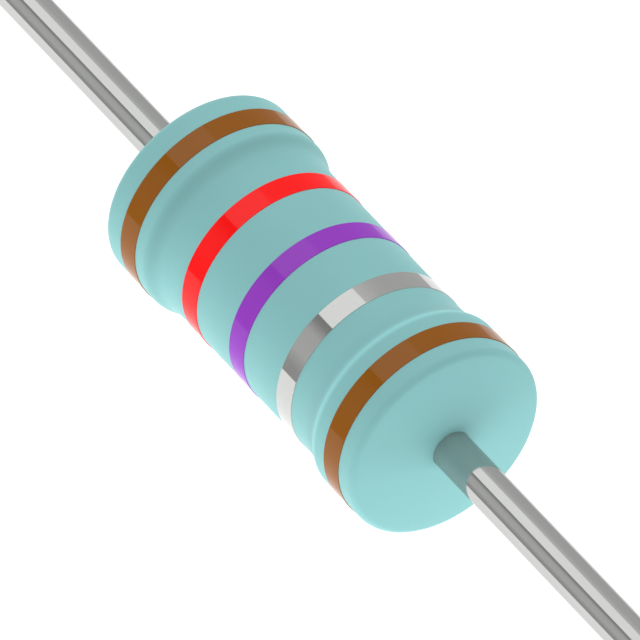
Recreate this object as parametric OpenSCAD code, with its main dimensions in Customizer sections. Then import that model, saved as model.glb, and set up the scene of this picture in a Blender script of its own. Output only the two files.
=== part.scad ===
// Axial film resistor with a dog-bone lacquered body and five colour bands.
// The axis lies along X, with the origin at the middle of the body, and the colour
// code is read from the -X end to the +X end. Sizes are in millimetres.
// Every profile below is drawn with the radius to the right and the axis upwards.

/* [Ceramic rod] */
// Diameter of the rod
rod_d = 2.3; // [1.6:0.1:3.2]
// Length of the rod
rod_length = 5.2; // [4.6:0.1:9]
// Chamfer ground on both ends of the rod
rod_chamfer = 0.1; // [0.08:0.01:0.15]

/* [Resistive film] */
// Thickness of the film on the rod
film_t = 0.03; // [0.02:0.01:0.06]
// Turns of the trimming groove
groove_turns = 4; // [1:0.5:6]
// Width of the groove, measured along the rod
groove_w = 0.12; // [0.08:0.01:0.2]
// Whole film left between each cap and the groove
groove_margin = 0.35; // [0.2:0.05:0.6]

/* [End caps] */
// Thickness of the cap's sheet, on its side and its end
cap_wall = 0.22; // [0.15:0.01:0.3]
// Length of the cap over all
cap_length = 0.95; // [0.8:0.05:1.2]
// Outside radius where the cap's side turns into its end
cap_corner = 0.25; // [0.1:0.05:0.4]
// Inside radius at the same corner, clear of the rod's chamfer
cap_inner_corner = 0.06; // [0.02:0.01:0.08]
// Bevel inside the cap's rim, which lets the rod enter
cap_lead_in = 0.05; // [0.02:0.01:0.08]

/* [Leads] */
// Diameter of the wire
lead_d = 0.6; // [0.4:0.05:0.8]
// Length of the wire outside the body, at each end
lead_length = 9.73; // [6:0.01:28]
// How far the welded head stands out round the wire
weld_flange = 0.2; // [0.18:0.01:0.28]
// Thickness of the welded head
weld_t = 0.15; // [0.08:0.01:0.2]
// Radius of the blend between the head and the wire
weld_round = 0.16; // [0.08:0.01:0.17]

/* [Lacquer] */
// Lacquer over the side of the caps
coat_on_cap = 0.175; // [0.12:0.005:0.25]
// Lacquer over the film between the shoulders
coat_on_film = 0.27; // [0.2:0.01:0.33]
// Lacquer over the ends of the caps, at the middle of its crown
coat_on_end = 0.45; // [0.38:0.01:0.6]
// Radius of the shallow crown at each end
end_crown = 9; // [6:0.5:14]
// Radius of the edge between a crown and the side of its bulge
end_round = 0.12; // [0.04:0.01:0.15]
// Distance from the cap's rim outwards to the crest of the shoulder
crest_past_rim = 0.32; // [0.25:0.01:0.38]
// Radius of the shoulder's crest
crest_round = 0.12; // [0.05:0.01:0.3]
// Radius of the hollow that runs from the crest down to the barrel
foot_round = 1.15; // [0.9:0.05:1.5]

/* [Colour bands] */
// Width of each band
band_w = 0.37; // [0.25:0.01:0.45]
// Thickness of the paint
band_t = 0.01; // [0.005:0.005:0.03]
// Lacquer left bare between an end's rounded edge and the band on the bulge
outer_band_inset = 0.26; // [0.1:0.01:0.35]
// Lacquer left bare between a shoulder's foot and the next band
inner_band_inset = 0.255; // [0.1:0.005:0.4]
// How far the whole code sits from the middle, towards the +X end
code_offset = 0.035; // [-0.05:0.005:0.05]
// Colour of the first digit
first_colour = "saddlebrown"; // [black,saddlebrown,red,orange,yellow,green,blue,darkviolet,gray,white]
// Colour of the second digit
second_colour = "red"; // [black,saddlebrown,red,orange,yellow,green,blue,darkviolet,gray,white]
// Colour of the third digit
third_colour = "darkviolet"; // [black,saddlebrown,red,orange,yellow,green,blue,darkviolet,gray,white]
// Colour of the multiplier
multiplier_colour = "silver"; // [silver,goldenrod,black,saddlebrown,red,orange,yellow,green,blue]
// Colour of the tolerance
tolerance_colour = "saddlebrown"; // [saddlebrown,red,green,blue,darkviolet,gray,goldenrod,silver]

/* [Hidden] */
$fn = 96;

// Radii, from the axis outwards
lead_r = lead_d / 2;
weld_r = lead_r + weld_flange;
rod_r = rod_d / 2;
film_r = rod_r + film_t;
cap_r = film_r + cap_wall;
bulge_r = cap_r + coat_on_cap;
barrel_r = film_r + coat_on_film;

// Places along the axis, from the middle outwards
rod_end = rod_length / 2;
film_end = rod_end - rod_chamfer;
cap_face = rod_end + cap_wall;
cap_rim = cap_face - cap_length;
body_end = cap_face + coat_on_end;
lead_tip = body_end + lead_length;

// Arcs that run into each other cross by a hair, so that no sliver is left between them
arc_bite = 0.00005;

// The shoulder is two arcs: the crest's, which stands out, and the foot's, which is hollow
shoulder_angle = acos(1 - (bulge_r - barrel_r) / (crest_round + foot_round));
crest_at = cap_rim + crest_past_rim;
foot_at = crest_at - (crest_round + foot_round) * sin(shoulder_angle) + arc_bite;
turn_point = [
    bulge_r - crest_round * (1 - cos(shoulder_angle)),
    crest_at - crest_round * sin(shoulder_angle)
];

// The end is two arcs: the edge's and the crown's, whose centre lies on the axis
crown_centre = body_end - end_crown;
edge_r = bulge_r - end_round;
edge_at = crown_centre + sqrt(pow(end_crown - end_round, 2) - pow(edge_r, 2)) + arc_bite;
edge_angle = atan(edge_r / (edge_at - crown_centre));
edge_start = [bulge_r, edge_at];
edge_stop = [edge_r, edge_at] + end_round * [sin(edge_angle), cos(edge_angle)];

// Middles of the bands, when the code sits in the middle
outer_band_at = edge_at - outer_band_inset - band_w / 2;
inner_band_at = foot_at - inner_band_inset - band_w / 2;

// The groove is a slot of this many degrees across, swept along the film as it turns
groove_half = cap_rim - groove_margin;
groove_pitch = 2 * groove_half / groove_turns;
slot_angle = 360 * groove_w / groove_pitch;
slices_a_turn = 36;
// How far the slot reaches past both faces of the film
slot_reach = 0.3;

coating_colour = [0.53, 0.74, 0.74];
rod_colour = [0.93, 0.91, 0.86];
film_colour = [0.42, 0.36, 0.32];
cap_colour = [0.72, 0.72, 0.7];
lead_colour = [0.8, 0.8, 0.8];

// Turns a profile about its axis and lays the result along X
module turned() {
    rotate([0, 90, 0])
        rotate_extrude()
            children();
}

// Draws the profile of one end at both ends
module both_ends() {
    children();
    mirror([0, 1, 0])
        children();
}

// Pie slice of radius r between two angles that are less than 120 degrees apart
module pie(r, from_angle, to_angle) {
    intersection() {
        circle(r);
        polygon([
            [0, 0],
            2 * r * [cos(from_angle), sin(from_angle)],
            2 * r * [cos(to_angle), sin(to_angle)]
        ]);
    }
}

// Outside of a cap, filled to the axis
module cap_outline() {
    polygon([
        [0, cap_rim],
        [cap_r, cap_rim],
        [cap_r, cap_face - cap_corner],
        [cap_r - cap_corner, cap_face],
        [0, cap_face]
    ]);
    translate([cap_r - cap_corner, cap_face - cap_corner])
        pie(cap_corner, 0, 90);
}

// Inside of a cap, filled to the axis: a bevelled mouth, a bore that grips the film and a rounded corner
module cap_hollow() {
    polygon([
        [0, cap_rim],
        [film_r + cap_lead_in, cap_rim],
        [film_r, cap_rim + cap_lead_in],
        [film_r, rod_end - cap_inner_corner],
        [film_r - cap_inner_corner, rod_end],
        [0, rod_end]
    ]);
    translate([film_r - cap_inner_corner, rod_end - cap_inner_corner])
        pie(cap_inner_corner, 0, 90);
}

// Outline of a lead: the head on the cap, its blend and the wire
module lead_outline() {
    blend_from = cap_face + weld_t;
    difference() {
        polygon([
            [0, cap_face],
            [weld_r, cap_face],
            [weld_r, blend_from],
            [lead_r + weld_round, blend_from],
            [lead_r, blend_from + weld_round],
            [lead_r, lead_tip],
            [0, lead_tip]
        ]);
        translate([lead_r + weld_round, blend_from + weld_round])
            pie(weld_round, 180, 270);
    }
}

// Outside of the lacquer from the barrel's end outwards, filled to the axis
module bulge_outline() {
    difference() {
        union() {
            intersection() {
                polygon([
                    [0, foot_at],
                    [barrel_r, foot_at],
                    turn_point,
                    [bulge_r, crest_at],
                    edge_start,
                    2 * edge_stop - edge_start,
                    [0, body_end + end_round]
                ]);
                translate([0, crown_centre])
                    circle(end_crown);
            }
            translate([bulge_r - crest_round, crest_at])
                pie(crest_round, -shoulder_angle, 0);
            translate([edge_r, edge_at])
                pie(end_round, 0, 93 - edge_angle);
        }
        translate([barrel_r + foot_round, foot_at])
            pie(foot_round, 179 - shoulder_angle, 180);
    }
}

// Straight stretch of a profile, centred on the middle of the body and filled to the axis
module middle_stretch(r, half_length) {
    translate([0, -half_length])
        square([r, 2 * half_length]);
}

// Ceramic rod that carries the film
module ceramic_core() {
    color(rod_colour)
        turned()
            polygon([
                [0, -rod_end],
                [rod_r - rod_chamfer, -rod_end],
                [rod_r, -film_end],
                [rod_r, film_end],
                [rod_r - rod_chamfer, rod_end],
                [0, rod_end]
            ]);
}

// Helical slot through the film, which trims the resistor to its value
module trimming_groove() {
    near_r = film_r - slot_reach;
    far_r = (film_r + slot_reach) / cos(slot_angle / 2);
    slot = [
        for (corner = [[near_r, -1], [far_r, -1], [far_r, 1], [near_r, 1]])
            corner[0] * [cos(corner[1] * slot_angle / 2), sin(corner[1] * slot_angle / 2)]
    ];
    rotate([0, 90, 0])
        translate([0, 0, -groove_half])
            linear_extrude(
                height = 2 * groove_half,
                twist = -360 * groove_turns,
                slices = round(slices_a_turn * groove_turns),
                segments = len(slot)
            )
                polygon(slot);
}

// Film on the rod: whole under the caps, and a spiral ribbon between them
module resistive_film() {
    color(film_colour)
        difference() {
            turned()
                translate([rod_r, -film_end])
                    square([film_t, 2 * film_end]);
            trimming_groove();
        }
}

// Drawn cup pressed over the +X end of the rod
module end_cap() {
    color(cap_colour)
        turned()
            difference() {
                cap_outline();
                cap_hollow();
            }
}

// Wire welded to the +X cap by its upset head
module lead() {
    color(lead_colour)
        turned()
            lead_outline();
}

// Dog-bone lacquer, moulded to all that it wraps
module coating() {
    color(coating_colour)
        turned()
            difference() {
                union() {
                    middle_stretch(barrel_r, foot_at);
                    both_ends()
                        bulge_outline();
                }
                middle_stretch(film_r, cap_rim);
                both_ends()
                    cap_outline();
                both_ends()
                    lead_outline();
            }
}

// Ring of paint on the lacquer, round a surface of radius on_r, at a place counted from the code's middle
module band(on_r, at, paint) {
    color(paint)
        turned()
            translate([on_r, code_offset + at - band_w / 2])
                square([band_t, band_w]);
}

ceramic_core();
resistive_film();
mirror([1, 0, 0]) end_cap();  // left_end_cap
end_cap();  // right_end_cap
mirror([1, 0, 0]) lead();  // left_lead
lead();  // right_lead
coating();
band(bulge_r, -outer_band_at, first_colour);  // first_digit_band
band(barrel_r, -inner_band_at, second_colour);  // second_digit_band
band(barrel_r, 0, third_colour);  // third_digit_band
band(barrel_r, inner_band_at, multiplier_colour);  // multiplier_band
band(bulge_r, outer_band_at, tolerance_colour);  // tolerance_band
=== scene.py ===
"""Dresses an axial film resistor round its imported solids: lacquer, colour code, leads and insides, in a studio.

Sizes in the classes are in millimetres, as in the part's source, and every finished mesh is in metres. The axis
lies along X with the origin at the middle of the body, and the colour code is read from the -X end to the +X end.
"""

import logging
import math
from abc import ABC, abstractmethod
from collections.abc import Mapping, Sequence
from dataclasses import dataclass
from enum import Enum

import bmesh
import bpy
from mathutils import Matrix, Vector


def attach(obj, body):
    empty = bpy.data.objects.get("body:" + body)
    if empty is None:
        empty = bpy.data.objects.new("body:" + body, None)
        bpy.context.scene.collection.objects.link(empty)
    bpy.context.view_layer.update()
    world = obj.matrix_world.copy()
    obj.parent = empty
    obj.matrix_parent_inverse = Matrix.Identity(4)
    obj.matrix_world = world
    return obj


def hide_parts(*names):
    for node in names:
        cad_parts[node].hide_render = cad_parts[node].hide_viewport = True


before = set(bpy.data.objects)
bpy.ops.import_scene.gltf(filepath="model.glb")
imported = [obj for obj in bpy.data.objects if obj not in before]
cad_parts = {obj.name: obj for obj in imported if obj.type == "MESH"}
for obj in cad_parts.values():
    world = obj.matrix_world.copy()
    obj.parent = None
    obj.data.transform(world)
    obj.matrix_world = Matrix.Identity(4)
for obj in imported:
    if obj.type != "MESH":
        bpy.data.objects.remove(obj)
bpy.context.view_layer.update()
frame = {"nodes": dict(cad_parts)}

LOG = logging.getLogger("axial_resistor")
MM = 0.001
MICRON = 1e-6
HALF = 0.5  # The middle of a noise, a random number or a tone, which run from 0 to 1
ONE_OCTAVE = 1.0  # The detail of a plain noise
NOISE_ROUGHNESS = 0.55
TINY = 1e-9
WHITE = (1.0, 1.0, 1.0, 1.0)
BODY = "root"

Colour = tuple[float, float, float]
Point = tuple[float, float, float]


def linear(colour: Colour) -> tuple[float, float, float, float]:
    """Turns a display colour into the linear one that a shader takes, by the sRGB curve.

    Args:
        colour: Red, green and blue from 0 to 1, as a screen shows them.

    Returns:
        Linear red, green and blue, and an alpha of 1.
    """
    return (*[c / 12.92 if c <= 0.04045 else ((c + 0.055) / 1.055) ** 2.4 for c in colour], 1.0)


def shaded(colour: Colour, factor: float) -> Colour:
    """Scales a display colour.

    Args:
        colour: Red, green and blue from 0 to 1.
        factor: What each is multiplied by.

    Returns:
        The scaled colour, kept within 0 and 1.
    """
    red, green, blue = (min(1.0, max(0.0, c * factor)) for c in colour)
    return red, green, blue


class Graph:
    """A node tree being filled, for a material, the world or a Geometry Nodes group."""

    def __init__(self, tree: bpy.types.NodeTree) -> None:
        """Takes the tree and empties it."""
        self.tree = tree
        tree.nodes.clear()

    def add(
        self,
        kind: str,
        settings: Mapping[str, object] | None = None,
        inputs: Mapping[str | int, object] | None = None,
    ) -> bpy.types.Node:
        """Adds a node, with its settings first and its inputs after them.

        Args:
            kind: The node's type.
            settings: Its properties, with "stops" for a ramp's (place, grey) pairs.
            inputs: A number, colour, material, socket, node or Value for each input, by its name or index.

        Returns:
            The node.
        """
        node = self.tree.nodes.new(kind)
        for name, setting in (settings or {}).items():
            if name == "stops":
                self._set_stops(node, setting)
            else:
                setattr(node, name, setting)
        for key, given in (inputs or {}).items():
            self._feed(self._input(node, key), given)
        return node

    @staticmethod
    def _set_stops(node: bpy.types.Node, stops: Sequence[tuple[float, float]]) -> None:
        """Gives a ramp its stops.

        Args:
            node: The ramp.
            stops: Each stop's place from 0 to 1 and its linear grey, in the order of their places.
        """
        elements = node.color_ramp.elements
        while len(elements) < len(stops):
            elements.new(1.0)
        for element, (place, grey) in zip(elements, stops):
            element.position = place
            element.color = (grey, grey, grey, 1.0)

    @staticmethod
    def _input(node: bpy.types.Node, key: str | int) -> bpy.types.NodeSocket:
        """Finds an input that the node's settings leave in use.

        Args:
            node: The node.
            key: The socket's index or name.

        Returns:
            The socket.
        """
        if isinstance(key, int):
            return node.inputs[key]
        return next(s for s in node.inputs if s.enabled and s.name == key)

    def _feed(self, socket: bpy.types.NodeSocket, given: object) -> None:
        """Links or sets one input.

        Args:
            socket: The input.
            given: A Value, a socket, a node, whose first output is taken, or a constant.
        """
        if isinstance(given, Value):
            given = given.socket
        if isinstance(given, bpy.types.Node):
            given = next(s for s in given.outputs if s.enabled)
        if isinstance(given, bpy.types.NodeSocket):
            self.tree.links.new(given, socket)
        else:
            socket.default_value = given

    def value(self, node: bpy.types.Node, output: str | int = 0) -> "Value":
        """Wraps a node's output as a number for Python's operators."""
        return Value(self, node.outputs[output])


@dataclass(frozen=True)
class Value:
    """One number in a node tree. Python's operators on it add Math nodes."""

    graph: Graph
    socket: bpy.types.NodeSocket

    def _math(self, operation: str, *operands: object) -> "Value":
        """Adds a Math node with that operation on the operands, and gives its result."""
        node = self.graph.add("ShaderNodeMath", {"operation": operation}, dict(enumerate(operands)))
        return Value(self.graph, node.outputs[0])

    def __add__(self, other: object) -> "Value":
        """Gives self + other."""
        return self._math("ADD", self, other)

    __radd__ = __add__

    def __sub__(self, other: object) -> "Value":
        """Gives self - other."""
        return self._math("SUBTRACT", self, other)

    def __rsub__(self, other: object) -> "Value":
        """Gives other - self."""
        return self._math("SUBTRACT", other, self)

    def __mul__(self, other: object) -> "Value":
        """Gives self * other."""
        return self._math("MULTIPLY", self, other)

    __rmul__ = __mul__

    def __truediv__(self, other: object) -> "Value":
        """Gives self / other."""
        return self._math("DIVIDE", self, other)

    def __rtruediv__(self, other: object) -> "Value":
        """Gives other / self."""
        return self._math("DIVIDE", other, self)

    def __abs__(self) -> "Value":
        """Gives abs(self)."""
        return self._math("ABSOLUTE", self)

    def above(self, other: object) -> "Value":
        """Gives 1 where self is greater than other, and 0 elsewhere."""
        return self._math("GREATER_THAN", self, other)

    def most(self, other: object) -> "Value":
        """Gives the smaller of self and other."""
        return self._math("MINIMUM", self, other)

    def swing(self, width: float) -> "Value":
        """Turns self, from 0 to 1, into a number that is within half a width of 0."""
        return (self - HALF) * width

    def sine(self) -> "Value":
        """Gives sin(self), in radians."""
        return self._math("SINE", self)

    def rise(self, start: float, end: float) -> "Value":
        """Gives a smooth step over self.

        Args:
            start: Where it is 0.
            end: Where it is 1.

        Returns:
            The step's height.
        """
        node = self.graph.add(
            "ShaderNodeMapRange",
            {"interpolation_type": "SMOOTHSTEP"},
            {"Value": self, "From Min": start, "From Max": end},
        )
        return Value(self.graph, node.outputs[0])


class Shading(Graph):
    """A material's node tree, with what this object's finishes have in common."""

    def __init__(self, name: str) -> None:
        """Makes the material, with its shader and its place in millimetres.

        Args:
            name: The material's name.
        """
        self.material = bpy.data.materials.new(name)
        self.material.use_nodes = True
        super().__init__(self.material.node_tree)
        self.shader = self.add("ShaderNodeBsdfPrincipled")
        self.add("ShaderNodeOutputMaterial", inputs={"Surface": self.shader})
        coordinates = self.add("ShaderNodeTexCoord")
        scaled = self.add(
            "ShaderNodeVectorMath", {"operation": "SCALE"}, {0: coordinates.outputs["Object"], "Scale": 1 / MM}
        )
        self.place = scaled.outputs[0]
        parts = self.add("ShaderNodeSeparateXYZ", inputs={0: self.place})
        self.along = self.value(parts, "X")
        self.across = self.value(parts, "Z")

    def surface(self, **inputs: object) -> None:
        """Feeds the shader's inputs, whose names have _ for each space."""
        for name, given in inputs.items():
            self._feed(self.shader.inputs[name.replace("_", " ").title()], given)

    def constants(self, values: Mapping[str, object]) -> None:
        """Sets what is the same all over the surface on the shader's own sockets."""
        for name, given in values.items():
            self.shader.inputs[name].default_value = given

    def noise(self, per_mm: float, detail: float = 2.0, at: object = None) -> Value:
        """Adds a noise that is about 0.5 on average.

        Args:
            per_mm: How many of its features go in a millimetre.
            detail: Its finer octaves.
            at: The coordinates it reads, or None for the place in millimetres.

        Returns:
            The noise's value.
        """
        node = self.add(
            "ShaderNodeTexNoise",
            inputs={"Vector": at or self.place, "Scale": per_mm, "Detail": detail, "Roughness": NOISE_ROUGHNESS},
        )
        return self.value(node)

    def cells(self, per_mm: float) -> Value:
        """Adds one random number to each cell of a fine grain.

        Args:
            per_mm: How many cells go in a millimetre.

        Returns:
            The cell's number, from 0 to 1.
        """
        node = self.add("ShaderNodeTexVoronoi", inputs={"Vector": self.place, "Scale": per_mm})
        parts = self.add("ShaderNodeSeparateColor", inputs={0: node.outputs["Color"]})
        return self.value(parts)

    def lengthwise(self, stretch: float) -> bpy.types.NodeSocket:
        """Draws the coordinates out along the axis, so that a noise on them becomes lines along it.

        Args:
            stretch: How many times longer than wide a feature is.

        Returns:
            The coordinates.
        """
        node = self.add(
            "ShaderNodeVectorMath", {"operation": "MULTIPLY"}, {0: self.place, 1: (1 / stretch, 1.0, 1.0)}
        )
        return node.outputs[0]

    def tones(self, colour: Colour, spread: float, factor: Value) -> bpy.types.NodeSocket:
        """Mixes a colour's darker tone, at a factor of 0, with its lighter one, at 1, each a spread away."""
        return self.mixed(linear(shaded(colour, 1 - spread)), linear(shaded(colour, 1 + spread)), factor)

    def mixed(self, first: object, second: object, factor: Value) -> bpy.types.NodeSocket:
        """Mixes two colours.

        Args:
            first: The colour or socket at 0.
            second: The colour or socket at 1.
            factor: The share of the second.

        Returns:
            The mixed colour.
        """
        node = self.add(
            "ShaderNodeMix",
            {"data_type": "RGBA", "clamp_factor": True},
            {"Factor": factor, "A": first, "B": second},
        )
        return next(s for s in node.outputs if s.enabled)

    def bumped(self, height: Value, microns: float) -> bpy.types.NodeSocket:
        """Turns a height, whose 0 and 1 are that many microns apart, into a surface normal."""
        inputs = {"Strength": 1.0, "Distance": microns * MICRON, "Height": height}
        return self.add("ShaderNodeBump", inputs=inputs).outputs[0]


@dataclass(frozen=True)
class Finish(ABC):
    """A finish: its name and its colour as a screen shows it."""

    name: str
    colour: Colour

    def material(self) -> bpy.types.Material:
        """Makes the finish's material, or finds it if it is made.

        Returns:
            The material.
        """
        made = bpy.data.materials.get(self.name)
        if made is not None:
            return made
        shading = Shading(self.name)
        self.shade(shading)
        return shading.material

    @abstractmethod
    def shade(self, s: Shading) -> None:
        """Fills the material's tree, s."""


@dataclass(frozen=True)
class Lacquer(Finish):
    """Satin lacquer, dipped and baked: a soft orange peel and cloudy pigment.

    A painted highlight, a light line on the +X crest, stands in for light from -X. Painted shade darkens a little at
    that crest's foot and most below the -X crest. Places are in millimetres from the body's middle.
    """

    roughness: float = 0.5
    roughness_swing: float = 0.08
    roughness_per_mm: float = 5.0
    specular: float = 0.1
    tone_spread: float = 0.012
    cloud_per_mm: float = 0.9
    cloud_swing: float = 0.9
    pigment_per_mm: float = 26.0
    pigment_swing: float = 0.5
    pools_at: tuple[float, float] = (1.55, 2.1)
    pool_start: float = 0.2
    pool_depth: float = 0.25
    peel_per_mm: float = 3.2
    fine_peel_per_mm: float = 24.0
    fine_peel_share: float = 0.12
    peel_microns: float = 0.5
    # Painted highlight: a lighter line of base colour on the +X crest, where light from -X would fall.
    painted_highlight_at: tuple[float, float, float] = (2.065, 2.155, 2.24)
    painted_highlight_tone: float = 1.1
    # Painted shade: darker base colour at the +X crest's foot and, more, below the -X crest.
    near_painted_shade_at: tuple[float, float, float] = (1.7, 2.0, 2.1)
    near_painted_shade_share: float = 0.7
    far_painted_shade_at: tuple[float, float, float] = (1.82, 2.06, 2.18)
    painted_shade_tone: float = 0.94

    def shade(self, s: Shading) -> None:
        """Fills the material's tree.

        Args:
            s: The tree.
        """
        cloud = s.noise(self.cloud_per_mm).swing(self.cloud_swing)
        pigment = s.noise(self.pigment_per_mm, ONE_OCTAVE).swing(self.pigment_swing)
        reach = abs(s.along)
        pool_from, pool_to = self.pools_at
        pool = reach.rise(pool_from, pool_from + self.pool_start) * (1 - reach.rise(pool_from, pool_to))
        tone = HALF + cloud + pigment - pool * self.pool_depth
        fine_peel = s.noise(self.fine_peel_per_mm, ONE_OCTAVE) * self.fine_peel_share
        # The painted highlight and painted shade lines, mixed into the base colour.
        painted_highlight = self._line(s.along, self.painted_highlight_at)
        painted_shade = self._line(s.along * -1, self.far_painted_shade_at) + self._line(s.along, self.near_painted_shade_at) * self.near_painted_shade_share
        plain = s.tones(self.colour, self.tone_spread, tone)
        lighter = s.mixed(plain, linear(shaded(self.colour, self.painted_highlight_tone)), painted_highlight)
        s.constants({"Specular IOR Level": self.specular})
        s.surface(
            base_color=s.mixed(lighter, linear(shaded(self.colour, self.painted_shade_tone)), painted_shade),
            roughness=self.roughness + s.noise(self.roughness_per_mm).swing(self.roughness_swing),
            normal=s.bumped(s.noise(self.peel_per_mm) + fine_peel, self.peel_microns),
        )

    @staticmethod
    def _line(along: Value, at: tuple[float, float, float]) -> Value:
        """Draws a soft line round the body, given where it starts, where it is strongest and where it ends."""
        start, middle, end = at
        return along.rise(start, middle) * (1 - along.rise(middle, end))


@dataclass(frozen=True)
class Paint(Finish):
    """Gloss paint of a colour band: a hard shine over slightly uneven pigment.

    The glint multiplies the shine that faces the eye, and leaves the one at a grazing angle alone.
    """

    roughness: float = 0.05
    roughness_rise: float = 0.02
    roughness_per_mm: float = 7.0
    specular: float = 0.055
    glint: float = 4.8
    tone_spread: float = 0.015
    cloud_per_mm: float = 1.6
    cloud_share: float = 0.6
    pigment_per_mm: float = 30.0
    wave_per_mm: float = 1.5
    wave_microns: float = 0.22

    def shade(self, s: Shading) -> None:
        """Fills the material's tree.

        Args:
            s: The tree.
        """
        cloud = s.noise(self.cloud_per_mm) * self.cloud_share
        tone = cloud + s.noise(self.pigment_per_mm, ONE_OCTAVE) * (1 - self.cloud_share)
        s.constants({"Specular IOR Level": self.specular, "Specular Tint": (*[self.glint] * 3, 1.0)})
        s.surface(
            base_color=s.tones(self.colour, self.tone_spread, tone),
            roughness=self.roughness + s.noise(self.roughness_per_mm) * self.roughness_rise,
            normal=s.bumped(s.noise(self.wave_per_mm, ONE_OCTAVE), self.wave_microns),
        )


@dataclass(frozen=True)
class SilverPaint(Finish):
    """Metallic paint of the multiplier band: leafing flakes that lie flat and shine like metal."""

    metallic: float = 0.85
    roughness: float = 0.045
    flake_roughness: float = 0.01
    flakes_per_mm: float = 45.0
    tone_spread: float = 0.006
    wave_per_mm: float = 1.5
    wave_microns: float = 0.2

    def shade(self, s: Shading) -> None:
        """Fills the material's tree.

        Args:
            s: The tree.
        """
        flakes = s.cells(self.flakes_per_mm)
        s.constants({"Metallic": self.metallic})
        s.surface(
            base_color=s.tones(self.colour, self.tone_spread, flakes),
            roughness=self.roughness + flakes * self.flake_roughness,
            normal=s.bumped(s.noise(self.wave_per_mm, ONE_OCTAVE), self.wave_microns),
        )


@dataclass(frozen=True)
class TinnedWire(Finish):
    """Bright tinned wire with faint drawing lines, and plain sheared ends.

    The edge is how much the metal still mirrors at a grazing angle. Sheared ends start at sheared_from, in
    millimetres from the body's middle.
    """

    metallic: float = 0.85
    edge: float = 0.72
    roughness: float = 0.05
    tone_spread: float = 0.008
    lines_per_mm: float = 14.0
    lines_detail: float = 3.0
    lines_stretch: float = 60.0
    lines_tone: float = 0.6
    lines_roughness: float = 0.012
    lines_height: float = 0.04
    cloud_per_mm: float = 1.2
    cloud_stretch: float = 4.0
    cloud_tone: float = 0.7
    cloud_roughness: float = 0.01
    relief_microns: float = 1.2
    sheared_from: float = 12.9999
    sheared_roughness: float = 0.34
    sheared_tone: float = 0.84
    sheared_spread: float = 0.05
    marks_per_mm: float = 55.0
    marks_waver: float = 5.0
    waver_per_mm: float = 6.0

    def shade(self, s: Shading) -> None:
        """Fills the material's tree.

        Args:
            s: The tree.
        """
        lines = s.noise(self.lines_per_mm, self.lines_detail, s.lengthwise(self.lines_stretch))
        cloud = s.noise(self.cloud_per_mm, at=s.lengthwise(self.cloud_stretch))
        sheared = abs(s.along).above(self.sheared_from)
        waver = s.noise(self.waver_per_mm) * self.marks_waver
        marks = (s.across * self.marks_per_mm + waver).sine() * HALF + HALF
        tone = HALF + cloud.swing(self.cloud_tone) + lines.swing(self.lines_tone)
        plated = s.tones(self.colour, self.tone_spread, tone)
        cut = s.tones(shaded(self.colour, self.sheared_tone), self.sheared_spread, marks)
        smooth = self.roughness + lines.swing(self.lines_roughness) + cloud.swing(self.cloud_roughness)
        height = (1 - sheared) * lines * self.lines_height + sheared * marks
        s.constants({"Metallic": self.metallic, "Specular Tint": (*[self.edge] * 3, 1.0)})
        s.surface(
            base_color=s.mixed(plated, cut, sheared),
            roughness=smooth + sheared * self.sheared_roughness,
            normal=s.bumped(height, self.relief_microns),
        )


@dataclass(frozen=True)
class DrawnSteel(Finish):
    """Tin-plated steel of a cap that is drawn in a die: lines along its side and a dull, even plating."""

    roughness: float = 0.3
    roughness_swing: float = 0.16
    tone_spread: float = 0.04
    cloud_per_mm: float = 1.4
    cloud_share: float = 0.6
    lines_per_mm: float = 9.0
    lines_detail: float = 3.0
    lines_stretch: float = 14.0
    lines_microns: float = 0.7

    def shade(self, s: Shading) -> None:
        """Fills the material's tree.

        Args:
            s: The tree.
        """
        lines = s.noise(self.lines_per_mm, self.lines_detail, s.lengthwise(self.lines_stretch))
        tone = s.noise(self.cloud_per_mm) * self.cloud_share + lines * (1 - self.cloud_share)
        s.constants({"Metallic": 1.0})
        s.surface(
            base_color=s.tones(self.colour, self.tone_spread, tone),
            roughness=self.roughness + lines.swing(self.roughness_swing),
            normal=s.bumped(lines, self.lines_microns),
        )


@dataclass(frozen=True)
class SputteredFilm(Finish):
    """Nickel-chromium film on ceramic: dark metal that shows the rod's grain and a drift of tint."""

    roughness: float = 0.36
    roughness_swing: float = 0.12
    cool_colour: Colour = (0.4, 0.39, 0.4)
    tone_spread: float = 0.05
    grain_per_mm: float = 38.0
    drift_per_mm: float = 0.7
    drifts_over: tuple[float, float] = (0.4, 0.65)
    grit_per_mm: float = 30.0
    grit_microns: float = 0.8

    def shade(self, s: Shading) -> None:
        """Fills the material's tree.

        Args:
            s: The tree.
        """
        grain = s.cells(self.grain_per_mm)
        drift = s.noise(self.drift_per_mm).rise(*self.drifts_over)
        warm = s.tones(self.colour, self.tone_spread, grain)
        cool = s.tones(self.cool_colour, self.tone_spread, grain)
        s.constants({"Metallic": 1.0})
        s.surface(
            base_color=s.mixed(warm, cool, drift),
            roughness=self.roughness + grain.swing(self.roughness_swing),
            normal=s.bumped(s.noise(self.grit_per_mm, ONE_OCTAVE), self.grit_microns),
        )


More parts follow.
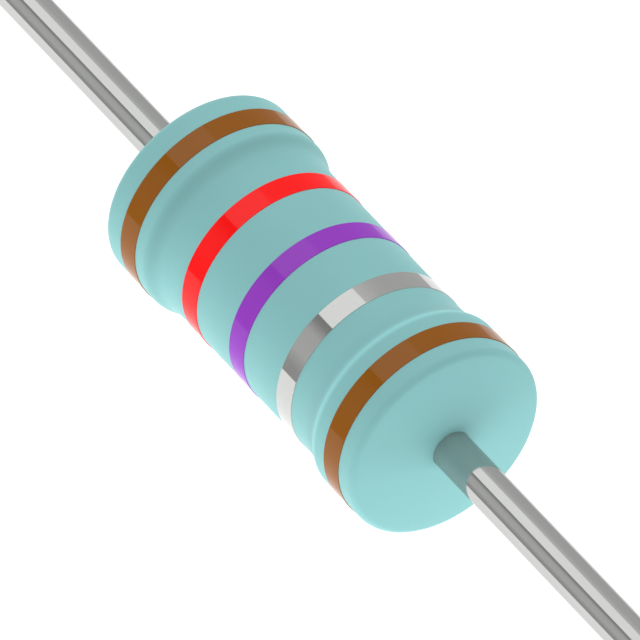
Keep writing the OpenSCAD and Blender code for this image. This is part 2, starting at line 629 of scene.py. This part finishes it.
@dataclass(frozen=True)
class Ceramic(Finish):
    """Fired alumina of the rod: off-white, dull and finely grained, with a few darker specks."""

    roughness: float = 0.78
    roughness_swing: float = 0.14
    tone_spread: float = 0.02
    cloud_per_mm: float = 1.1
    cloud_share: float = 0.6
    grain_per_mm: float = 30.0
    specks_per_mm: float = 11.0
    specks_over: tuple[float, float] = (0.68, 0.74)
    speck_tone: float = 0.8
    speck_share: float = 0.6
    pores_per_mm: float = 24.0
    pore_microns: float = 2.0

    def shade(self, s: Shading) -> None:
        """Fills the material's tree.

        Args:
            s: The tree.
        """
        grain = s.cells(self.grain_per_mm)
        tone = s.noise(self.cloud_per_mm) * self.cloud_share + grain * (1 - self.cloud_share)
        specks = s.noise(self.specks_per_mm).rise(*self.specks_over) * self.speck_share
        body = s.tones(self.colour, self.tone_spread, tone)
        s.surface(
            base_color=s.mixed(body, linear(shaded(self.colour, self.speck_tone)), specks),
            roughness=self.roughness + grain.swing(self.roughness_swing),
            normal=s.bumped(s.noise(self.pores_per_mm), self.pore_microns),
        )


class PaintColour(Enum):
    """The colours of the code's bands, as finishes."""

    BROWN = Paint("brown_band_paint", (0.541, 0.315, 0.02))
    RED = Paint("red_band_paint", (0.975, 0.04, 0.04))
    VIOLET = Paint("violet_band_paint", (0.56, 0.215, 0.72))
    SILVER = SilverPaint("silver_band_paint", (0.712, 0.716, 0.708))


@dataclass(frozen=True)
class Corner:
    """One corner of an outline: its distance from the axis, its place along the axis and the radius it gets."""

    out: float
    along: float
    radius: float = 0.0

    def mirrored(self) -> "Corner":
        """Gives the same corner at the other end."""
        return Corner(self.out, -self.along, self.radius)


def stepped(corners: Sequence[Corner], longest: float, closed: bool, clearance: float = 1.2) -> list[Corner]:
    """Puts plain points along an outline's long straight runs.

    Args:
        corners: The outline's corners.
        longest: The longest step that may stay, in millimetres.
        closed: Whether the last corner runs on to the first.
        clearance: How many of a corner's radii stay free of points beside it.

    Returns:
        The corners with the points between them.
    """
    found: list[Corner] = []
    following = [*corners[1:], corners[0]] if closed else list(corners[1:])
    for here, there in zip(corners, following):
        found.append(here)
        start, end = Vector((here.out, here.along)), Vector((there.out, there.along))
        run = (end - start).length
        clear_start, clear_end = clearance * here.radius, clearance * there.radius
        free = run - clear_start - clear_end
        count = int(free // longest)
        if count > 0:
            for k in range(count + 1):
                spot = start.lerp(end, (clear_start + free * k / count) / run)
                if 0 < (spot - start).length < run - TINY:
                    found.append(Corner(spot.x, spot.y))
    if not closed:
        found.append(corners[-1])
    return found


@dataclass(frozen=True)
class Lathe:
    """A Geometry Nodes tree that rounds an outline's corners and turns the outline about the X axis."""

    facets: int = 256
    corner_steps: int = 10
    ring_radius: float = 1.0
    weld: float = 1e-5
    crease: float = math.radians(32)
    longest_step: float = 0.25

    NAME = "turned_piece"
    RADIUS = "corner_radius"

    def tree(self) -> bpy.types.NodeTree:
        """Builds the tree, or finds it if it is built.

        Returns:
            The tree, whose inputs have names.
        """
        made = bpy.data.node_groups.get(self.NAME)
        if made is not None:
            return made
        tree = bpy.data.node_groups.new(self.NAME, "GeometryNodeTree")
        g = Graph(tree)
        sockets = [
            ("Outline", "NodeSocketGeometry"),
            ("Facets Round", "NodeSocketInt"),
            ("Corner Steps", "NodeSocketInt"),
            ("Ring Radius", "NodeSocketFloat"),
            ("Weld Distance", "NodeSocketFloat"),
            ("Crease Angle", "NodeSocketFloat"),
            ("Millimetre", "NodeSocketFloat"),
            ("Finish", "NodeSocketMaterial"),
        ]
        for name, kind in sockets:
            tree.interface.new_socket(name=name, in_out="INPUT", socket_type=kind)
        tree.interface.new_socket(name="Piece", in_out="OUTPUT", socket_type="NodeSocketGeometry")
        given = g.add("NodeGroupInput").outputs
        outline = g.add("GeometryNodeMeshToCurve", inputs={"Mesh": given["Outline"]})
        radius = g.add("GeometryNodeInputNamedAttribute", {"data_type": "FLOAT"}, {"Name": self.RADIUS})
        rounded = g.add(
            "GeometryNodeFilletCurve",
            {"mode": "POLY"},
            {"Curve": outline, "Count": given["Corner Steps"], "Radius": radius.outputs[0], "Limit Radius": False},
        )
        shift = g.add("ShaderNodeCombineXYZ", inputs={"X": Value(g, given["Ring Radius"]) * -1})
        section = g.add("GeometryNodeTransform", inputs={"Geometry": rounded, "Translation": shift})
        ring = g.add(
            "GeometryNodeCurvePrimitiveCircle",
            {"mode": "RADIUS"},
            {"Resolution": given["Facets Round"], "Radius": given["Ring Radius"]},
        )
        swept = g.add("GeometryNodeCurveToMesh", inputs={"Curve": ring, "Profile Curve": section})
        welded = g.add(
            "GeometryNodeMergeByDistance", inputs={"Geometry": swept, "Distance": given["Weld Distance"]}
        )
        smooth = g.add("GeometryNodeSetShadeSmooth", {"domain": "FACE"}, {"Geometry": welded, "Shade Smooth": True})
        bend = g.value(g.add("GeometryNodeInputMeshEdgeAngle"))
        creased = g.add(
            "GeometryNodeSetShadeSmooth",
            {"domain": "EDGE"},
            {"Geometry": smooth, "Selection": bend.above(given["Crease Angle"]), "Shade Smooth": False},
        )
        scale = g.add(
            "ShaderNodeCombineXYZ",
            inputs={"X": given["Millimetre"], "Y": given["Millimetre"], "Z": given["Millimetre"]},
        )
        laid = g.add(
            "GeometryNodeTransform",
            inputs={"Geometry": creased, "Rotation": (0.0, -math.pi / 2, 0.0), "Scale": scale},
        )
        real = g.add("GeometryNodeRealizeInstances", inputs={"Geometry": laid})
        dressed = g.add("GeometryNodeSetMaterial", inputs={"Geometry": real, "Material": given["Finish"]})
        g.add("NodeGroupOutput", inputs={"Piece": dressed})
        return tree

    def turn(self, name: str, corners: Sequence[Corner], closed: bool, finish: Finish) -> bpy.types.Object:
        """Turns one piece.

        Args:
            name: The piece's name.
            corners: Its outline, with the piece on the left as the outline runs.
            closed: Whether the outline is a ring's, clear of the axis.
            finish: Its finish.

        Returns:
            The piece as a plain mesh in metres.

        Raises:
            ValueError: If the mesh has an open edge or its faces point inwards.
        """
        points = stepped(corners, self.longest_step, closed)
        count = len(points)
        edges = [(i, (i + 1) % count) for i in range(count if closed else count - 1)]
        mesh = bpy.data.meshes.new(name + "_outline")
        mesh.from_pydata([(c.out, c.along, 0.0) for c in points], edges, [])
        radii = mesh.attributes.new(self.RADIUS, "FLOAT", "POINT")
        radii.data.foreach_set("value", [c.radius for c in points])
        drawn = bpy.data.objects.new(name + "_outline", mesh)
        bpy.context.scene.collection.objects.link(drawn)
        modifier = drawn.modifiers.new("turned", "NODES")
        modifier.node_group = self.tree()
        sizes = {
            "Facets Round": self.facets,
            "Corner Steps": self.corner_steps,
            "Ring Radius": self.ring_radius,
            "Weld Distance": self.weld,
            "Crease Angle": self.crease,
            "Millimetre": MM,
            "Finish": finish.material(),
        }
        for item in modifier.node_group.interface.items_tree:
            if item.in_out == "INPUT" and item.name in sizes:
                modifier[item.identifier] = sizes[item.name]
        evaluated = drawn.evaluated_get(bpy.context.evaluated_depsgraph_get())
        turned = bpy.data.meshes.new_from_object(evaluated)
        turned.name = name
        drawn.modifiers.remove(modifier)
        bpy.data.objects.remove(drawn)
        bpy.data.meshes.remove(mesh)
        piece = bpy.data.objects.new(name, turned)
        bpy.context.scene.collection.objects.link(piece)
        self._check(piece)
        return piece

    @staticmethod
    def _check(piece: bpy.types.Object) -> None:
        """Stops the script if a turned piece isn't closed or is inside out.

        Args:
            piece: The piece.

        Raises:
            ValueError: If it has an open edge or its faces point inwards.
        """
        shell = bmesh.new()
        shell.from_mesh(piece.data)
        open_edges = sum(not e.is_manifold for e in shell.edges)
        volume = shell.calc_volume(signed=True)
        shell.free()
        if open_edges or volume <= 0:
            raise ValueError(f"{piece.name}: {open_edges} open edges, volume {volume:.3e}")


@dataclass
class LeadPair:
    """Both leads: the wire and the upset head that is welded to the cap."""

    lathe: Lathe
    finish: Finish
    wire_radius: float = 0.3
    head_radius: float = 0.5
    head_from: float = 2.82
    head_thickness: float = 0.15
    blend_radius: float = 0.16
    tip: float = 13.0
    tip_edge: float = 0.012

    def head_corners(self) -> list[Corner]:
        """Gives the outline that the lacquer wraps.

        Returns:
            Its corners, from the cap's face outwards.
        """
        top = self.head_from + self.head_thickness
        return [
            Corner(self.head_radius, self.head_from),
            Corner(self.head_radius, top),
            Corner(self.wire_radius, top, self.blend_radius),
        ]

    def build(self) -> list[tuple[bpy.types.Object, str, str]]:
        """Turns both leads.

        Returns:
            Each piece with the node it replaces and its material slot.
        """
        right = [
            Corner(0.0, self.head_from),
            *self.head_corners(),
            Corner(self.wire_radius, self.tip, self.tip_edge),
            Corner(0.0, self.tip),
        ]
        left = [c.mirrored() for c in reversed(right)]
        return [
            (self.lathe.turn("left_lead_wire", left, False, self.finish), "left_lead", "tinned_wire"),
            (self.lathe.turn("right_lead_wire", right, False, self.finish), "right_lead", "tinned_wire"),
        ]


@dataclass
class LacquerCoat:
    """The dog-bone lacquer, moulded to the film, the caps and the leads inside it."""

    lathe: Lathe
    finish: Finish
    leads: LeadPair
    film_radius: float = 1.18
    cap_radius: float = 1.4
    cap_corner: float = 0.25
    cap_rim: float = 1.87
    barrel_radius: float = 1.45
    bulge_radius: float = 1.575
    body_end: float = 3.27
    end_crown: float = 9.0
    end_round: float = 0.12
    crest_at: float = 2.19
    crest_round: float = 0.12
    foot_round: float = 1.15

    def shoulder(self) -> list[Corner]:
        """Gives the shoulder, from the barrel up to the crest.

        Returns:
            Its two corners, whose rounds run into each other on the slope between them.
        """
        rounds = self.crest_round + self.foot_round
        slope = math.acos(1 - (self.bulge_radius - self.barrel_radius) / rounds)
        foot_at = self.crest_at - rounds * math.sin(slope)
        reach = math.tan(slope / 2)
        return [
            Corner(self.barrel_radius, foot_at + self.foot_round * reach, self.foot_round),
            Corner(self.bulge_radius, self.crest_at - self.crest_round * reach, self.crest_round),
        ]

    def end(self, crown_steps: int = 8) -> list[Corner]:
        """Gives the rounded edge and the shallow crown that closes on the wire.

        Args:
            crown_steps: How many steps the crown's arc takes.

        Returns:
            The corner of the edge, whose round ends on the crown, and the points of the crown.
        """
        centre = self.body_end - self.end_crown
        slope = math.asin((self.bulge_radius - self.end_round) / (self.end_crown - self.end_round))
        on_crown = (self.end_crown * math.sin(slope), centre + self.end_crown * math.cos(slope))
        drop = (self.bulge_radius - on_crown[0]) * math.tan(slope)
        wire_slope = math.asin(self.leads.wire_radius / self.end_crown)
        angles = [slope + (wire_slope - slope) * k / crown_steps for k in range(crown_steps + 1)]
        return [
            Corner(self.bulge_radius, on_crown[1] - drop, self.end_round),
            *[Corner(self.end_crown * math.sin(a), centre + self.end_crown * math.cos(a)) for a in angles],
        ]

    def build(self) -> list[tuple[bpy.types.Object, str, str]]:
        """Turns the lacquer as one closed shell with its hollow.

        Returns:
            The piece with the node it replaces and its material slot.
        """
        outside = [*self.shoulder(), *self.end()]
        inside = [
            *reversed(self.leads.head_corners()),
            Corner(self.cap_radius, self.leads.head_from, self.cap_corner),
            Corner(self.cap_radius, self.cap_rim),
            Corner(self.film_radius, self.cap_rim),
        ]
        half = [*outside, *inside]
        section = [*half, *[c.mirrored() for c in reversed(half)]]
        piece = self.lathe.turn("coating_lacquer", section, True, self.finish)
        return [(piece, "coating", "lacquer")]


@dataclass(frozen=True)
class Band:
    """One painted band: its node, its slot, its colour, its place in the code and the radius under it."""

    node: str
    slot: str
    colour: PaintColour
    middle: float
    under: float


@dataclass
class ColourCode:
    """The five bands of paint, read from the -X end."""

    lathe: Lathe
    barrel_radius: float = 1.45
    bulge_radius: float = 1.575
    width: float = 0.37
    thickness: float = 0.01
    outer_middle: float = 2.585
    inner_middle: float = 1.2006
    offset: float = 0.035
    edge_round: float = 0.0095

    def bands(self) -> list[Band]:
        """Lists the bands.

        Returns:
            The bands in reading order.
        """
        bulge, barrel = self.bulge_radius, self.barrel_radius
        return [
            Band("first_digit_band", "brown_paint", PaintColour.BROWN, -self.outer_middle, bulge),
            Band("second_digit_band", "red_paint", PaintColour.RED, -self.inner_middle, barrel),
            Band("third_digit_band", "violet_paint", PaintColour.VIOLET, 0.0, barrel),
            Band("multiplier_band", "silver_paint", PaintColour.SILVER, self.inner_middle, barrel),
            Band("tolerance_band", "brown_paint", PaintColour.BROWN, self.outer_middle, bulge),
        ]

    def build(self) -> list[tuple[bpy.types.Object, str, str]]:
        """Turns every band.

        Returns:
            Each piece with the node it replaces and its material slot.
        """
        made = []
        for band in self.bands():
            middle = self.offset + band.middle
            start, end = middle - self.width / 2, middle + self.width / 2
            top = band.under + self.thickness
            section = [
                Corner(band.under, start),
                Corner(band.under, end),
                Corner(top, end, self.edge_round),
                Corner(top, start, self.edge_round),
            ]
            ring = self.lathe.turn(band.node.replace("_band", "_paint"), section[::-1], True, band.colour.value)
            made.append((ring, band.node, band.slot))
        return made


@dataclass
class Insides:
    """The pieces under the lacquer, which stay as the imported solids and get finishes."""

    finishes: Mapping[str, Finish]

    def dress(self, nodes: Mapping[str, bpy.types.Object]) -> None:
        """Gives each solid its finish.

        Args:
            nodes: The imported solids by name.
        """
        for name, finish in self.finishes.items():
            for material_slot in nodes[name].material_slots:
                material_slot.material = finish.material()
            LOG.info("%s keeps its solid, in %s", name, finish.name)


class SeenBy(Enum):
    """Which rays meet a piece of the studio."""

    EVERY_RAY = "every ray"
    MIRRORS = "reflections only"


@dataclass
class Studio:
    """The camera, the pale floor, the world, the soft lamps and the cards that only reflections show.

    Its sizes are in metres, but for the camera's lens and sensor.
    """

    floor_below: float = 0.015
    floor_half: float = 1.5
    floor_colour: Colour = (0.93, 0.93, 0.93)
    ambient: float = 0.62
    floor_white: float = 0.3
    floor_mirrored: float = 0.64
    floor_dimmed: float = 0.27
    floor_dims_over: tuple[float, float] = (0.004, 0.016)
    from_below: float = 1.38
    below_side: float = 0.24
    below_lift: float = 0.001
    key_light: float = 0.94
    key_away: float = 0.3
    key_side: float = 0.532
    key_from: Point = (-0.433, 0.25, 0.866)
    card_half: float = 0.4
    panel_height: float = 0.3
    panel_glow: float = 1.45
    panel_near: float = -0.194
    panel_far: float = 0.0759
    right_foot: float = 0.0537
    right_greys: tuple[tuple[float, float], ...] = (
        (0.0, 0.62), (0.06, 0.64), (0.14, 0.78), (0.3, 0.9)
    )
    left_foot: float = -0.0462
    left_top: float = 0.0714
    left_greys: tuple[tuple[float, float], ...] = (
        (-0.015, 0.42), (-0.005, 0.44), (0.01, 0.7), (0.035, 0.67), (0.055, 0.33), (0.0714, 0.25)
    )
    camera_to: Point = (0.6004, -0.3966, 0.6944)
    camera_right: Point = (0.5512, 0.8344, 0.0)
    camera_up: Point = (-0.5794, 0.3828, 0.7196)
    camera_away: float = 0.4
    lens: float = 1607.0
    sensor: float = 36.0
    clips: tuple[float, float] = (0.01, 20.0)
    aim_right: float = -0.0000259
    aim_up: float = -0.0000949

    def build(self) -> None:
        """Makes everything in the studio."""
        self._camera()
        self._world()
        self._floor()
        self._lamps()
        self._mirror_cards()

    def _camera(self) -> None:
        """Makes the camera at the photograph's angle."""
        data = bpy.data.cameras.new("camera")
        data.sensor_width = self.sensor
        data.lens = self.lens
        data.clip_start, data.clip_end = self.clips
        camera = bpy.data.objects.new("camera", data)
        aim = Vector(self.camera_right) * self.aim_right + Vector(self.camera_up) * self.aim_up
        away = Vector(self.camera_to).normalized()
        camera.location = aim + away * self.camera_away
        camera.rotation_euler = (-away).to_track_quat("-Z", "Y").to_euler()
        bpy.context.scene.collection.objects.link(camera)
        bpy.context.scene.camera = camera

    @staticmethod
    def _rays(g: Graph) -> tuple[Value, Value]:
        """Tells the rays that look at the background apart from those that light the object.

        Args:
            g: The tree that asks.

        Returns:
            1 for a camera or transmission ray, and 1 for a glossy one.
        """
        path = g.add("ShaderNodeLightPath")
        seen = (g.value(path, "Is Camera Ray") + g.value(path, "Is Transmission Ray")).most(1.0)
        return seen, g.value(path, "Is Glossy Ray")

    def _world(self) -> None:
        """Makes the world: plain white to look at, and a soft ambient light."""
        world = bpy.data.worlds.new("studio")
        world.use_nodes = True
        g = Graph(world.node_tree)
        seen, mirrored = self._rays(g)
        strength = self.ambient + (seen + mirrored).most(1.0) * (1.0 - self.ambient)
        background = g.add("ShaderNodeBackground", inputs={"Color": WHITE, "Strength": strength})
        g.add("ShaderNodeOutputWorld", inputs={"Surface": background})
        bpy.context.scene.world = world

    def _floor(self) -> None:
        """Makes the pale floor, which keeps the object's shadow and can be looked through from below."""
        material = bpy.data.materials.new("pale_floor")
        material.use_nodes = True
        g = Graph(material.node_tree)
        pale = g.add("ShaderNodeBsdfDiffuse", inputs={"Color": linear(self.floor_colour)})
        seen, mirrored = self._rays(g)
        place = g.add("ShaderNodeSeparateXYZ", inputs={0: g.add("ShaderNodeTexCoord").outputs["Object"]})
        dimmed = g.value(place, "Y").rise(*self.floor_dims_over) * self.floor_dimmed
        share = seen * self.floor_white + mirrored * (self.floor_mirrored - dimmed)
        glow = g.add("ShaderNodeEmission", inputs={"Color": WHITE, "Strength": share})
        top = g.add("ShaderNodeAddShader", inputs={0: pale, 1: glow})
        below = g.add("ShaderNodeBsdfTransparent")
        side = g.value(g.add("ShaderNodeNewGeometry"), "Backfacing")
        both = g.add("ShaderNodeMixShader", inputs={0: side, 1: top, 2: below})
        g.add("ShaderNodeOutputMaterial", inputs={"Surface": both})
        half, level = self.floor_half, -self.floor_below
        corners = [(-half, -half, level), (half, -half, level), (half, half, level), (-half, half, level)]
        self._card("floor", corners, material, SeenBy.EVERY_RAY)

    def _lamps(self) -> None:
        """Makes the key light, above and behind the object, and the light that comes up from below."""
        towards = Vector(self.key_from).normalized()
        self._lamp("key_light", towards * self.key_away, towards, self.key_side, self.key_light)
        under = Vector((0.0, 0.0, self.below_lift - self.floor_below))
        self._lamp("light_from_below", under, Vector((0.0, 0.0, -1.0)), self.below_side, self.from_below)

    @staticmethod
    def _lamp(name: str, at: Vector, back: Vector, side: float, radiance: float) -> None:
        """Makes one soft square lamp that reflections don't show.

        Args:
            name: The lamp's name.
            at: Its place.
            back: The direction that its back faces.
            side: The length of its side.
            radiance: How bright its face is, where 1 is white.
        """
        data = bpy.data.lights.new(name, "AREA")
        data.shape = "SQUARE"
        data.size = side
        data.energy = radiance * math.pi * side * side
        lamp = bpy.data.objects.new(name, data)
        lamp.location = at
        lamp.rotation_euler = back.to_track_quat("Z", "Y").to_euler()
        lamp.visible_camera = False
        lamp.visible_glossy = False
        bpy.context.scene.collection.objects.link(lamp)

    def _mirror_cards(self) -> None:
        """Makes the panel overhead and the grey cards beside it, which only reflections show."""
        half = self.card_half
        low = -self.floor_below
        far_y, near_y, ceiling = self.panel_far, self.panel_near, self.panel_height
        right_y, left_y, left_top = self.right_foot, self.left_foot, self.left_top
        panel = [(-half, near_y, ceiling), (half, near_y, ceiling), (half, far_y, ceiling), (-half, far_y, ceiling)]
        right = [(-half, right_y, low), (half, right_y, low), (half, far_y, ceiling), (-half, far_y, ceiling)]
        left = [(-half, left_y, low), (half, left_y, low), (half, left_y, left_top), (-half, left_y, left_top)]
        plain = self._glow("panel_glow", [(ceiling, 1.0)], self.panel_glow)
        self._card("overhead_panel", panel, plain, SeenBy.MIRRORS)
        self._card("right_card", right, self._glow("right_card_greys", self.right_greys), SeenBy.MIRRORS)
        self._card("left_card", left, self._glow("left_card_greys", self.left_greys), SeenBy.MIRRORS)

    @staticmethod
    def _glow(name: str, greys: Sequence[tuple[float, float]], strength: float = 1.0) -> bpy.types.Material:
        """Makes a card's material, which may darken or brighten with the height.

        Args:
            name: The material's name.
            greys: Heights from the lowest up, each with how bright the card looks there, up to 1.
            strength: What the brightness is multiplied by.

        Returns:
            The material.
        """
        material = bpy.data.materials.new(name)
        material.use_nodes = True
        g = Graph(material.node_tree)
        place = g.add("ShaderNodeTexCoord")
        height = g.value(g.add("ShaderNodeSeparateXYZ", inputs={0: place.outputs["Object"]}), "Z")
        low, high = greys[0][0], greys[-1][0]
        span = max(high - low, MM)
        ramp = g.add(
            "ShaderNodeValToRGB", {"stops": [((z - low) / span, grey) for z, grey in greys]}, {0: (height - low) / span}
        )
        glow = g.add("ShaderNodeEmission", inputs={"Color": ramp, "Strength": strength})
        g.add("ShaderNodeOutputMaterial", inputs={"Surface": glow})
        return material

    @staticmethod
    def _card(name: str, corners: Sequence[Point], material: bpy.types.Material, seen: SeenBy) -> None:
        """Makes a flat piece of the studio.

        Args:
            name: Its name.
            corners: Its four corners, in order.
            material: Its material.
            seen: The rays that meet it.
        """
        mesh = bpy.data.meshes.new(name)
        mesh.from_pydata(corners, [], [(0, 1, 2, 3)])
        mesh.materials.append(material)
        card = bpy.data.objects.new(name, mesh)
        if seen is SeenBy.MIRRORS:
            card.visible_camera = card.visible_diffuse = card.visible_shadow = False
            card.visible_volume_scatter = False
        bpy.context.scene.collection.objects.link(card)


def main() -> None:
    """Builds and dresses the resistor and its studio, and reports each piece."""
    logging.basicConfig(level=logging.INFO, format="%(name)s: %(message)s")
    bpy.context.scene.view_settings.view_transform = "Standard"
    lathe = Lathe()
    leads = LeadPair(lathe, TinnedWire("tinned_wire_finish", (0.712, 0.716, 0.708)))
    coat = LacquerCoat(lathe, Lacquer("aqua_lacquer", (0.509, 0.722, 0.723)), leads)
    cap_finish = DrawnSteel("plated_steel", (0.8, 0.8, 0.785))
    insides = Insides(
        {
            "ceramic_core": Ceramic("fired_alumina", (0.93, 0.91, 0.86)),
            "resistive_film": SputteredFilm("metal_film", (0.46, 0.4, 0.36)),
            "left_end_cap": cap_finish,
            "right_end_cap": cap_finish,
        }
    )
    for assembly in (coat, ColourCode(lathe), leads):
        for piece, node, material_slot in assembly.build():
            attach(piece, BODY)
            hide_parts(node)
            triangles = sum(len(p.vertices) - 2 for p in piece.data.polygons)
            LOG.info("%s stands for %s, %d triangles", piece.name, node, triangles)
    insides.dress(frame["nodes"])
    Studio().build()


if __name__ == "__main__":
    main()
